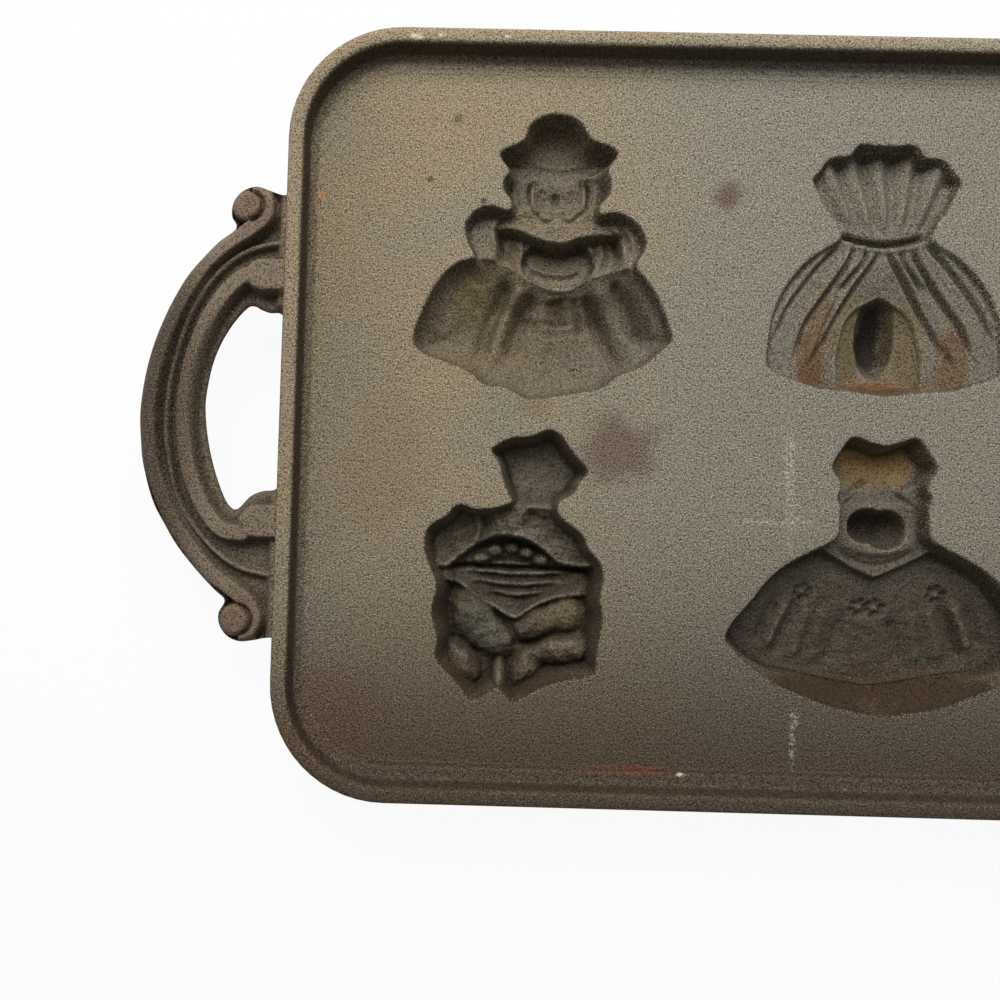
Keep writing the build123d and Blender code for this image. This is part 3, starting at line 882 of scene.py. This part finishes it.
RIM_PROFILE = [
    (1.4, 16), (1.15, 18), (0.75, 21), (0.3, 24.2), (0.12, 25.4), (0.25, 26.2), (0.7, 26.75), (1.4, 27),
    (2.6, 27.02), (3.6, 27), (4.25, 26.8), (4.65, 26.3), (4.8, 25.5), (5.0, 23.5), (5.2, 21.9),
    (5.55, 21.1), (6.2, 20.65), (7.2, 20.42), (8.2, 20.3), (8.7, 20.12), (8.95, 19.95), (9.3, 20.02),
    (10.0, 20.05), (10.6, 19.98), (10.6, 19.5), (6.0, 19.4), (6.0, 16),
]
CORNER_RADIUS = 33.0


def plate_piece():
    """The flat plate with an opening for each cup."""
    bm = bmesh.new()
    bm.from_mesh(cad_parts["plate"].data)
    bmesh.ops.scale(bm, vec=(1 / MM, 1 / MM, 1 / MM), verts=bm.verts)
    piece = finished("plate_iron", bm, smooth=False)
    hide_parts("plate")
    return piece


def rim_piece():
    """The raised rim with its cove and the faint crease where it meets the plate."""
    bm = bmesh.new()
    rings = []
    hollow = bm.verts.layers.float.new("hollow")
    for inset, height in RIM_PROFILE:
        plan = rounded_rectangle(HALF_LENGTH - inset, HALF_DEPTH - inset, CORNER_RADIUS - inset)
        verts = [bm.verts.new((x, y, height)) for x, y in plan]
        for vert in verts:
            # The inner wall carries the hollow mark, as painted shade: full on the wall, weaker in the
            # cove at its foot
            vert[hollow] = 1.0 if 4.7 < inset < 5.5 else 0.6 if 5.5 < inset < 7.5 else 0.0
        rings.append([bm.edges.new((verts[n - 1], verts[n])) for n in range(len(verts))])
    for n in range(len(rings)):
        bmesh.ops.bridge_loops(bm, edges=rings[n - 1] + rings[n])
    piece = finished("rim_iron", bm)
    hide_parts("rim")
    return piece


def node_of(tree, kind, **values):
    """A shader node with some of its inputs or settings filled in."""
    node = tree.nodes.new(kind)
    for name, value in values.items():
        if name in node.inputs:
            node.inputs[name].default_value = value
        else:
            setattr(node, name, value)
    return node


def mix_colours(tree, factor, a, b, kind="MIX"):
    """Mixes two colours, each given as a value or a socket."""
    mix = tree.nodes.new("ShaderNodeMix")
    mix.data_type = "RGBA"
    mix.blend_type = kind
    for socket, value in ((mix.inputs[0], factor), (mix.inputs[6], a), (mix.inputs[7], b)):
        if isinstance(value, bpy.types.NodeSocket):
            tree.links.new(value, socket)
        elif isinstance(value, (tuple, list)):
            socket.default_value = (*value[:3], 1)
        else:
            socket.default_value = value
    return mix.outputs[2]


def number(tree, operation, a, b):
    """Arithmetic on two values, each a number or a socket."""
    node = tree.nodes.new("ShaderNodeMath")
    node.operation = operation
    for socket, value in zip(node.inputs, (a, b)):
        if isinstance(value, bpy.types.NodeSocket):
            tree.links.new(value, socket)
        else:
            socket.default_value = value
    return node.outputs[0]


def times(tree, a, b):
    return number(tree, "MULTIPLY", a, b)


def larger(tree, a, b):
    return number(tree, "MAXIMUM", a, b)


def rest_of(tree, share):
    return number(tree, "SUBTRACT", 1.0, share)


def parted(tree, vector):
    """The X, Y and Z of a vector."""
    parts = tree.nodes.new("ShaderNodeSeparateXYZ")
    tree.links.new(vector, parts.inputs[0])
    return parts.outputs


def seen_directly(tree):
    """1 where the camera, a mirror or clear matter looks at something, 0 for its light."""
    path = tree.nodes.new("ShaderNodeLightPath").outputs
    seen = larger(tree, path["Is Camera Ray"], path["Is Glossy Ray"])
    return larger(tree, seen, path["Is Transmission Ray"])


def between(tree, value, low, high):
    """A socket's value stretched from 0 at low to 1 at high."""
    node = tree.nodes.new("ShaderNodeMapRange")
    node.interpolation_type = "SMOOTHSTEP"
    tree.links.new(value, node.inputs["Value"])
    node.inputs["From Min"].default_value = low
    node.inputs["From Max"].default_value = high
    return node.outputs["Result"]


def noise(tree, place, scale, detail=4.0, roughness=0.55):
    """Cloudy noise on the casting, with features of about 1/scale metres."""
    node = node_of(tree, "ShaderNodeTexNoise", Scale=scale, Detail=detail, Roughness=roughness)
    tree.links.new(place, node.inputs["Vector"])
    return node.outputs["Fac"]


def marked(tree, name):
    """A mark that the casting's points carry."""
    node = node_of(tree, "ShaderNodeAttribute", attribute_type="GEOMETRY", attribute_name=name)
    return node.outputs["Fac"]


def ragged_patch(tree, place, ragged, centre, reach, soft=0.5):
    """A ragged patch round a place on the plan, 1 inside and 0 outside."""
    flat = tree.nodes.new("ShaderNodeVectorMath")
    flat.operation = "MULTIPLY"
    tree.links.new(place, flat.inputs[0])
    flat.inputs[1].default_value = (1 / (reach[0] * MM), 1 / (reach[1] * MM), 0)
    away = tree.nodes.new("ShaderNodeVectorMath")
    away.operation = "DISTANCE"
    tree.links.new(flat.outputs[0], away.inputs[0])
    away.inputs[1].default_value = (centre[0] / reach[0], centre[1] / reach[1], 0)
    bent = number(tree, "ADD", away.outputs["Value"], times(tree, ragged, 1.6))
    return between(tree, bent, 1.8 + soft, 1.8 - soft)


# Stains on the plate and the handles: place, reach, colour and strength
PLATE_STAINS = [
    ((-78, -9.5), (11, 9), (0.123, 0.070, 0.049), 0.65),
    ((-46.5, 66), (4, 4), (0.116, 0.065, 0.043), 0.7),
    ((-103, 3), (5, 4), (0.232, 0.152, 0.080), 0.45),
    ((-146, -15), (13, 20), (0.246, 0.167, 0.090), 0.35),
    ((-158, -88), (14, 12), (0.102, 0.049, 0.029), 0.5),
    ((-72, -101.5), (12, 1.3), (0.145, 0.049, 0.029), 0.7),
    ((-138.5, 107.6), (1.6, 0.7), (0.797, 0.725, 0.580), 0.9),
    ((-131.5, 108.2), (1.0, 0.5), (0.797, 0.725, 0.580), 0.9),
    ((-112.5, 108.0), (1.2, 0.5), (0.725, 0.652, 0.522), 0.8),
    ((-118.5, 63), (1.1, 1.0), (0.036, 0.029, 0.022), 0.8),
    ((-126.5, 87.5), (1.6, 1.5), (0.087, 0.072, 0.058), 0.6),
    ((-134.5, 69), (1.0, 0.8), (0.043, 0.035, 0.026), 0.7),
    ((-58, -102.5), (1.0, 0.5), (0.725, 0.667, 0.551), 0.8),
    ((-166.5, 63), (0.9, 1.6), (0.435, 0.217, 0.072), 0.7),
    ((-186, 58), (8, 8), (0.160, 0.093, 0.064), 0.6),
    ((-186, -61), (8, 8), (0.160, 0.093, 0.064), 0.6),
]
# Scratches: place and reach
SCRATCHES = [
    ((-27.3, -22), (0.9, 20)), ((-27.8, -8), (1.6, 6)), ((-28.5, -17), (2.2, 2.5)),
    ((-33, -29.8), (8, 0.7)), ((-22.5, -29.5), (4, 0.8)), ((-26.0, -29.5), (2.0, 2.0)),
    ((-26.0, -92), (0.8, 8)), ((-25.3, -86), (1.5, 2.0)),
]
# Stained patches down in the cups, and near-black painted shadow in their deepest recesses
CUP_STAINS_AND_SHADOWS = [
    ((-101, -76), (4.0, 2.2), (0.145, 0.046, 0.029), 0.5),
    ((-91, -60), (8, 10), (0.152, 0.113, 0.058), 0.7),
    # Painted shadow in the child's basket opening and down its wicker
    ((-106, -43.5), (14, 5.5), (0.014, 0.010, 0.007), 0.85),
    ((-106, -51), (15, 6), (0.020, 0.014, 0.010), 0.8),
    ((-106, -34.5), (9, 2.2), (0.189, 0.167, 0.131), 0.6),
    ((-93, -39), (5, 3.5), (0.189, 0.167, 0.131), 0.5),
    ((-121.5, -38), (4, 5), (0.145, 0.123, 0.090), 0.5),
    ((-99.5, -15.5), (9, 7), (0.174, 0.151, 0.116), 0.5),
    ((-120, -75), (8, 7), (0.072, 0.046, 0.025), 0.85),
    ((-98, -78.5), (17, 4.5), (0.067, 0.041, 0.022), 0.85),
    ((-21, 17), (4.5, 14), (0.131, 0.058, 0.016), 0.95),
    ((-17, 32), (3, 9), (0.123, 0.065, 0.026), 0.7),
    ((21, 17), (4.5, 14), (0.131, 0.058, 0.016), 0.8),
    ((-8, 25), (6, 13), (0.167, 0.123, 0.061), 0.85),
    ((8, 25), (6, 13), (0.167, 0.123, 0.061), 0.85),
    # Painted shadow inside the sheaf's arched hollow
    ((0, 27), (4.2, 12), (0.012, 0.009, 0.006), 0.95),
    ((0, 10.5), (11, 3.2), (0.167, 0.070, 0.020), 0.9),
    ((0, -10), (13, 8), (0.275, 0.174, 0.070), 0.9),
    # Painted shadow deep in the lady's sleeves
    ((0, -30.5), (6.5, 4.5), (0.014, 0.012, 0.009), 0.85),
    ((-22, -80), (34, 7), (0.065, 0.036, 0.020), 0.95),
    ((22, -80), (34, 7), (0.065, 0.036, 0.020), 0.95),
    ((-119, 37), (6, 7), (0.217, 0.174, 0.072), 0.6),
    ((-97, 47), (9, 6), (0.123, 0.116, 0.087), 0.4),
    ((-115, -62), (7, 7), (0.123, 0.128, 0.096), 0.4),
]


# Colours that the iron drifts to in places, and the colours of painted shade in creases and on steep
# walls and of ridges, partly wear and partly painted highlight
WARM_IRON = (0.273, 0.206, 0.123)
COOL_IRON = (0.220, 0.197, 0.142)
GREY_IRON = (0.203, 0.196, 0.165)
DARK_BROWN_IRON = (0.058, 0.036, 0.022)
HANDLE_INNER = (0.205, 0.156, 0.110)
HANDLE_OUTER = (0.060, 0.041, 0.028)
RIM_WORN = (0.348, 0.268, 0.167)
SCRATCHED = (0.609, 0.551, 0.435)
PAINTED_CREASE_SHADE = (0.014, 0.012, 0.009)
RIDGE_WEAR_AND_HIGHLIGHT = (0.246, 0.215, 0.157)
PAINTED_WALL_SHADE = (0.043, 0.029, 0.017)
GRAIN_DARK = (0.15, 0.14, 0.125)
GRAIN_LIGHT = (0.638, 0.536, 0.362)


def iron_material():
    """Sandy, worn cast iron: grey-brown on the plate, darker down in the cups, rust in places, with
    painted shade in its hollows, creases and steep walls and painted highlight on its ridges.
    """
    existing = bpy.data.materials.get("seasoned_iron")
    if existing:
        return existing
    colours = bpy.context.scene.pan_colours
    material = bpy.data.materials.new("seasoned_iron")
    material.use_nodes = True
    tree = material.node_tree
    shader = tree.nodes["Principled BSDF"]
    place = tree.nodes.new("ShaderNodeTexCoord").outputs["Object"]
    sideways, up_plan, height = parted(tree, place)
    sideways = number(tree, "ABSOLUTE", sideways, 0.0)
    patches = noise(tree, place, 24, 5, 0.6)
    warm = noise(tree, place, 10, 3, 0.5)
    clouds = noise(tree, place, 120, 4, 0.6)
    grain = noise(tree, place, 1600, 2, 0.65)
    speckle = noise(tree, place, 2700, 1, 0.5)
    hollow, crease = marked(tree, "hollow"), marked(tree, "crease")

    # Large patches of the bare iron, darker brown towards the foot and the two ends, and its handles and
    # rim
    base = mix_colours(tree, between(tree, warm, 0.38, 0.62), tuple(colours.iron), WARM_IRON)
    base = mix_colours(tree, between(tree, patches, 0.48, 0.70), base, COOL_IRON)
    central = times(tree, between(tree, sideways, 0.115, 0.035), 0.85)
    base = mix_colours(tree, central, base, GREY_IRON)
    foot = between(tree, up_plan, -0.020, -0.108)
    dark_brown_share = larger(tree, times(tree, between(tree, sideways, 0.125, 0.178), 0.35), foot)
    dark_brown_share = times(tree, dark_brown_share, between(tree, clouds, 0.0, 0.30))
    base = mix_colours(tree, times(tree, dark_brown_share, 0.9), base, DARK_BROWN_IRON)
    handle = between(tree, sideways, 0.1752, 0.1775)
    outermost = between(tree, sideways, 0.194, 0.208)
    handle_colour = mix_colours(tree, outermost, HANDLE_INNER, HANDLE_OUTER)
    base = mix_colours(tree, times(tree, handle, 0.9), base, handle_colour)
    on_rim = times(tree, between(tree, height, 0.0262, 0.0268), 0.5)
    base = mix_colours(tree, times(tree, on_rim, rest_of(tree, foot)), base, RIM_WORN)

    # Dark seasoning and painted shade in the hollows, then colour patches, painted shadow in the cups'
    # deepest recesses and scratches over it, where little of the grain glints
    calm = larger(tree, times(tree, dark_brown_share, 0.75), times(tree, handle, 0.7))
    calm = larger(tree, calm, times(tree, hollow, 0.85))
    # The hollow mark mixes in dark seasoning and painted shade: deep in the cups, on the rim's inner wall
    # and in the handle channels
    base = mix_colours(tree, times(tree, hollow, 0.80), base, tuple(colours.patina_and_shade))
    for listed_patches, shows in ((PLATE_STAINS, 1.0), (CUP_STAINS_AND_SHADOWS, between(tree, hollow, 0.1, 0.6))):
        for centre, reach, colour, strength in listed_patches:
            amount = times(tree, ragged_patch(tree, place, clouds, centre, reach), strength)
            amount = times(tree, amount, shows)
            base = mix_colours(tree, amount, base, colour)
            calm = larger(tree, calm, amount)
    broken = between(tree, noise(tree, place, 900, 3, 0.7), 0.46, 0.60)
    broken = times(tree, broken, times(tree, rest_of(tree, hollow), 0.5))
    for centre, reach in SCRATCHES:
        amount = times(tree, ragged_patch(tree, place, clouds, centre, reach), broken)
        base = mix_colours(tree, amount, base, SCRATCHED)

    # Painted shade in creases, with grime in them; ridges lighter, partly from wear and partly as painted
    # highlight; painted shade on steep walls
    deep = times(tree, between(tree, crease, 0.0, 1.8), larger(tree, hollow, 0.6))
    base = mix_colours(tree, deep, base, PAINTED_CREASE_SHADE)
    # Ridges, where the crease mark is below zero, are lighter: partly wear and partly painted highlight
    worn = times(tree, between(tree, crease, 0.1, -1.5), times(tree, hollow, 0.6))
    base = mix_colours(tree, worn, base, RIDGE_WEAR_AND_HIGHLIGHT)
    # Painted shade on steep walls, darker the less a face turns upwards
    upward = parted(tree, tree.nodes.new("ShaderNodeNewGeometry").outputs["Normal"])["Z"]
    base = mix_colours(tree, times(tree, between(tree, upward, 0.80, 0.35), 0.6), base, PAINTED_WALL_SHADE)

    # The sandy grain, as colour and as relief
    darks = times(tree, between(tree, grain, 0.52, 0.36), 0.85)
    base = mix_colours(tree, darks, base, GRAIN_DARK, kind="MULTIPLY")
    lights = times(tree, between(tree, speckle, 0.53, 0.68), 0.8)
    base = mix_colours(tree, times(tree, lights, rest_of(tree, calm)), base, GRAIN_LIGHT)
    tree.links.new(base, shader.inputs["Base Color"])
    shader.inputs["Roughness"].default_value = 0.62
    shader.inputs["Specular IOR Level"].default_value = 0.12
    bump = node_of(tree, "ShaderNodeBump", Strength=0.9, Distance=0.0005)
    rough = number(tree, "ADD", grain, times(tree, noise(tree, place, 420, 4, 0.6), 0.8))
    tree.links.new(rough, bump.inputs["Height"])
    tree.links.new(bump.outputs["Normal"], shader.inputs["Normal"])
    return material


class PAN_OT_plate(bpy.types.Operator):
    """Makes the flat plate"""

    bl_idname = "pan.plate"
    bl_label = "Plate"

    def execute(self, context):
        plate_piece()
        return {"FINISHED"}


class PAN_OT_rim(bpy.types.Operator):
    """Makes the raised rim"""

    bl_idname = "pan.rim"
    bl_label = "Rim"

    def execute(self, context):
        rim_piece()
        return {"FINISHED"}


class PAN_OT_handles(bpy.types.Operator):
    """Makes the two looped handles"""

    bl_idname = "pan.handles"
    bl_label = "Handles"

    def execute(self, context):
        for right_side in (False, True):
            handle_piece(right_side)
        return {"FINISHED"}


class PAN_OT_cups(bpy.types.Operator):
    """Makes the six figure-shaped cups"""

    bl_idname = "pan.cups"
    bl_label = "Cups"

    def execute(self, context):
        for figure, (centre, *_) in FIGURES.items():
            cup_piece(figure, False)
            if centre[0] != 0:
                cup_piece(figure, True)
        return {"FINISHED"}


class PAN_OT_stage(bpy.types.Operator):
    """Makes the floor, the lamps, the white surroundings and the camera"""

    bl_idname = "pan.stage"
    bl_label = "Stage"

    def execute(self, context):
        look = context.scene.stage_look
        make_floor()
        make_lamps(look)
        make_world(look)
        make_camera(look)
        context.scene.view_settings.view_transform = "Standard"
        return {"FINISHED"}


# Places in metres: the lamp and what it points at, and the camera with its turn
LAMP_AT = (-0.13, 0.48, 0.55)
LAMP_AIM = (-0.05, 0.0, 0.0)
LAMP_SIZE = (0.85, 0.5)
CAMERA_AT = (-0.10952, -0.03275, 0.24505)
CAMERA_TURN = (0.0343, 0.0077, 0.0250)


def make_floor():
    """A white floor that keeps the pan's shadow."""
    bm = bmesh.new()
    bmesh.ops.create_grid(bm, x_segments=1, y_segments=1, size=3)
    mesh = bpy.data.meshes.new("floor")
    bm.to_mesh(mesh)
    bm.free()
    floor = bpy.data.objects.new("floor", mesh)
    bpy.context.scene.collection.objects.link(floor)
    material = bpy.data.materials.new("white_floor")
    material.use_nodes = True
    tree = material.node_tree
    tree.nodes.clear()
    diffuse = node_of(tree, "ShaderNodeBsdfDiffuse", Color=(0.8, 0.8, 0.8, 1))
    glow = node_of(tree, "ShaderNodeEmission", Color=(1, 1, 1, 1), Strength=1.0)
    mix = tree.nodes.new("ShaderNodeMixShader")
    tree.links.new(times(tree, seen_directly(tree), 0.94), mix.inputs[0])
    tree.links.new(diffuse.outputs[0], mix.inputs[1])
    tree.links.new(glow.outputs[0], mix.inputs[2])
    output = tree.nodes.new("ShaderNodeOutputMaterial")
    tree.links.new(mix.outputs[0], output.inputs["Surface"])
    floor.data.materials.append(material)


def make_lamps(look):
    """One large lamp above the figures' heads."""
    data = bpy.data.lights.new("large_lamp", "AREA")
    data.shape = "RECTANGLE"
    data.size, data.size_y = LAMP_SIZE
    data.energy = look.lamp_power
    lamp = bpy.data.objects.new("large_lamp", data)
    lamp.location = LAMP_AT
    aim = Vector(LAMP_AIM) - lamp.location
    lamp.rotation_euler = aim.to_track_quat("-Z", "Y").to_euler()
    bpy.context.scene.collection.objects.link(lamp)


def make_world(look):
    """Even pale light, seen as white."""
    world = bpy.data.worlds.new("white_room")
    bpy.context.scene.world = world
    world.use_nodes = True
    tree = world.node_tree
    tree.nodes.clear()
    strength = tree.nodes.new("ShaderNodeMapRange")
    strength.inputs["To Min"].default_value = look.fill
    strength.inputs["To Max"].default_value = 1.0
    tree.links.new(seen_directly(tree), strength.inputs["Value"])
    glow = node_of(tree, "ShaderNodeBackground", Color=(1, 1, 1, 1))
    tree.links.new(strength.outputs["Result"], glow.inputs["Strength"])
    output = tree.nodes.new("ShaderNodeOutputWorld")
    tree.links.new(glow.outputs[0], output.inputs["Surface"])


def make_camera(look):
    """The camera above the left column of cups, turned as the photograph's was."""
    data = bpy.data.cameras.new("camera")
    data.sensor_width = 36.0
    data.lens = look.lens
    data.clip_start = 0.01
    camera = bpy.data.objects.new("camera", data)
    camera.location = CAMERA_AT
    camera.rotation_euler = CAMERA_TURN
    bpy.context.scene.collection.objects.link(camera)
    bpy.context.scene.camera = camera


class PAN_PT_panel(bpy.types.Panel):
    """Lists the pan's pieces"""

    bl_idname = "PAN_PT_panel"
    bl_label = "Muffin pan"
    bl_space_type = "VIEW_3D"
    bl_region_type = "UI"
    bl_category = "Muffin pan"

    def draw(self, context):
        for group in ("pan_sizes", "pan_colours", "stage_look"):
            settings = getattr(context.scene, group)
            for name in settings.__annotations__:
                self.layout.prop(settings, name)
        for operator in OPERATORS:
            self.layout.operator(operator.bl_idname)


OPERATORS = (PAN_OT_plate, PAN_OT_rim, PAN_OT_handles, PAN_OT_cups, PAN_OT_stage)
GROUPS = {"pan_sizes": PanSizes, "pan_colours": PanColours, "stage_look": StageLook}


def register():
    for kind in (*GROUPS.values(), *OPERATORS, PAN_PT_panel):
        bpy.utils.register_class(kind)
    for name, group in GROUPS.items():
        setattr(bpy.types.Scene, name, bpy.props.PointerProperty(type=group))


def unregister():
    for name in GROUPS:
        delattr(bpy.types.Scene, name)
    for kind in (PAN_PT_panel, *reversed(OPERATORS), *reversed(list(GROUPS.values()))):
        bpy.utils.unregister_class(kind)


def main():
    """Registers the add-on and makes every piece in order."""
    register()
    bpy.ops.pan.plate()
    bpy.ops.pan.rim()
    bpy.ops.pan.handles()
    bpy.ops.pan.cups()
    bpy.ops.pan.stage()


if __name__ == "__main__":
    main()
